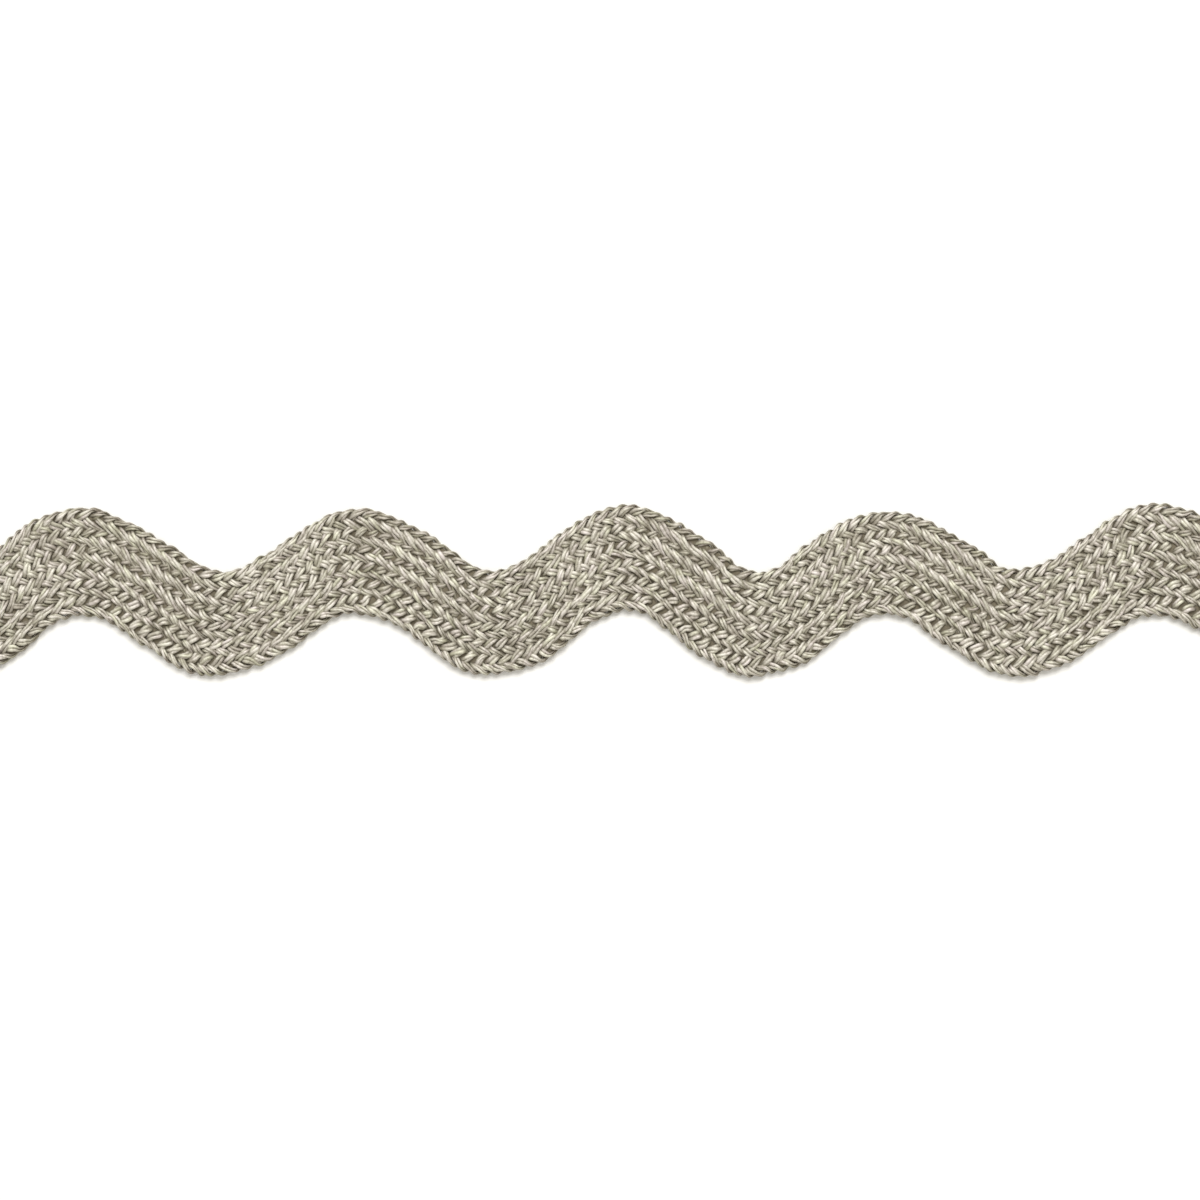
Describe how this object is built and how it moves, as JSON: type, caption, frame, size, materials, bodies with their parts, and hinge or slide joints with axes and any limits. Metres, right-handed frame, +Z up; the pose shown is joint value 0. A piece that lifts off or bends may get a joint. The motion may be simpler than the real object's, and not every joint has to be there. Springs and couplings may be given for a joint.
{
  "type": "ric rac braid length",
  "caption": "Cut length of flat braided ric rac trim, a zigzag band of metallic yarn lying face up, with straight cut ends.",
  "frame": {"origin": "centre of the outline in plan, on the surface that the braid lies on", "axes": "+X along the length, +Y across the band, +Z up out of its face"},
  "size_m": [0.1958, 0.0254, 0.0016],
  "materials": {
    "metallic_yarn": "silver and beige metallic yarn"
  },
  "bodies": {
    "root": {"ric_rac": "metallic_yarn"}
  },
  "joints": []
}
